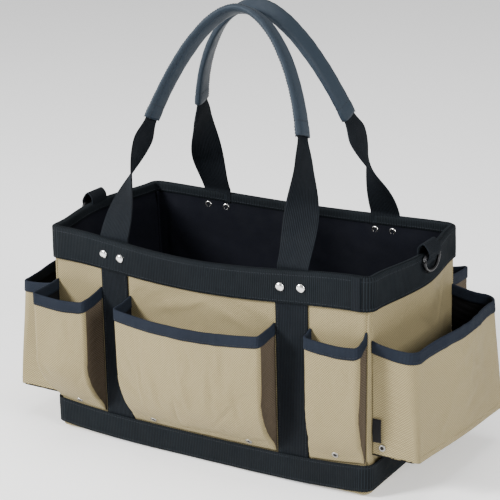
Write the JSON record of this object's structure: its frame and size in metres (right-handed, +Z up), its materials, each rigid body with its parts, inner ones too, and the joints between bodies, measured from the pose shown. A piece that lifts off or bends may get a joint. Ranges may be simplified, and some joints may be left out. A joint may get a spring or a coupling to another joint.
{
  "type": "garden tool bag",
  "caption": "Open-topped canvas tool bag with webbing bands, outside pockets, twin swinging handles with tubular grips and swinging D-rings on its ends.",
  "frame": {"origin": "on the ground, under the middle of the bag", "axes": "+Z up, +X along the bag's length to the right, the front wall faces -Y"},
  "size_m": [0.542, 0.3194, 0.507],
  "materials": {
    "canvas": "coated woven canvas, matte",
    "webbing": "ribbed webbing",
    "binding": "grosgrain tape",
    "grip": "smooth sleeve",
    "lining": "dark woven lining",
    "board": "stiff sheet",
    "nickel": "nickel plated",
    "dark_metal": "black nickel",
    "label": "blank woven label"
  },
  "bodies": {
    "bag": {"base_board": "board", "base_panel": "canvas", "bottom_band": "webbing", "front_left_pocket": "canvas", "front_left_pocket_binding": "binding", "front_left_pocket_eyelet_1": "nickel", "front_left_rivet_1": "nickel", "front_left_rivet_2": "nickel", "front_panel": "canvas", "front_right_pocket": "canvas", "front_right_pocket_binding": "binding", "front_right_pocket_eyelet_1": "nickel", "front_right_rivet_1": "nickel", "front_right_rivet_2": "nickel", "front_wall_board": "board", "front_wide_pocket": "canvas", "front_wide_pocket_binding": "binding", "front_wide_pocket_eyelet_1": "nickel", "front_wide_pocket_eyelet_2": "nickel", "left_end_panel": "canvas", "left_end_pocket": "canvas", "left_end_pocket_binding": "binding", "left_end_pocket_eyelet_1": "nickel", "left_end_pocket_eyelet_2": "nickel", "left_ring_tab": "webbing", "left_strap": "webbing", "left_wall_board": "board", "lining": "lining", "rear_left_pocket": "canvas", "rear_left_pocket_binding": "binding", "rear_left_pocket_eyelet_1": "nickel", "rear_left_rivet_1": "nickel", "rear_left_rivet_2": "nickel", "rear_panel": "canvas", "rear_right_pocket": "canvas", "rear_right_pocket_binding": "binding", "rear_right_pocket_eyelet_1": "nickel", "rear_right_rivet_1": "nickel", "rear_right_rivet_2": "nickel", "rear_wall_board": "board", "rear_wide_pocket": "canvas", "rear_wide_pocket_binding": "binding", "rear_wide_pocket_eyelet_1": "nickel", "rear_wide_pocket_eyelet_2": "nickel", "right_end_panel": "canvas", "right_end_pocket": "canvas", "right_end_pocket_binding": "binding", "right_end_pocket_eyelet_1": "nickel", "right_end_pocket_eyelet_2": "nickel", "right_ring_tab": "webbing", "right_strap": "webbing", "right_wall_board": "board", "side_label": "label", "top_band": "webbing"},
    "front_handle": {"front_handle_webbing": "webbing", "front_grip_cover": "grip"},
    "rear_handle": {"rear_handle_webbing": "webbing", "rear_grip_cover": "grip"},
    "left_ring": {"left_d_ring": "dark_metal"},
    "right_ring": {"right_d_ring": "dark_metal"}
  },
  "joints": [
    {"name": "front_handle_swing", "type": "hinge", "parent": "bag", "child": "front_handle", "pos_m": [0, -0.11822, 0.24806], "axis": [1, 0, 0], "range_deg": [0, 160]},
    {"name": "rear_handle_swing", "type": "hinge", "parent": "bag", "child": "rear_handle", "pos_m": [0, 0.11822, 0.24806], "axis": [-1, 0, 0], "range_deg": [0, 160]},
    {"name": "left_ring_swing", "type": "hinge", "parent": "bag", "child": "left_ring", "pos_m": [-0.2255, 0, 0.2485], "axis": [0, 1, 0], "range_deg": [0, 150]},
    {"name": "right_ring_swing", "type": "hinge", "parent": "bag", "child": "right_ring", "pos_m": [0.2255, 0, 0.2485], "axis": [0, -1, 0], "range_deg": [0, 150]}
  ]
}
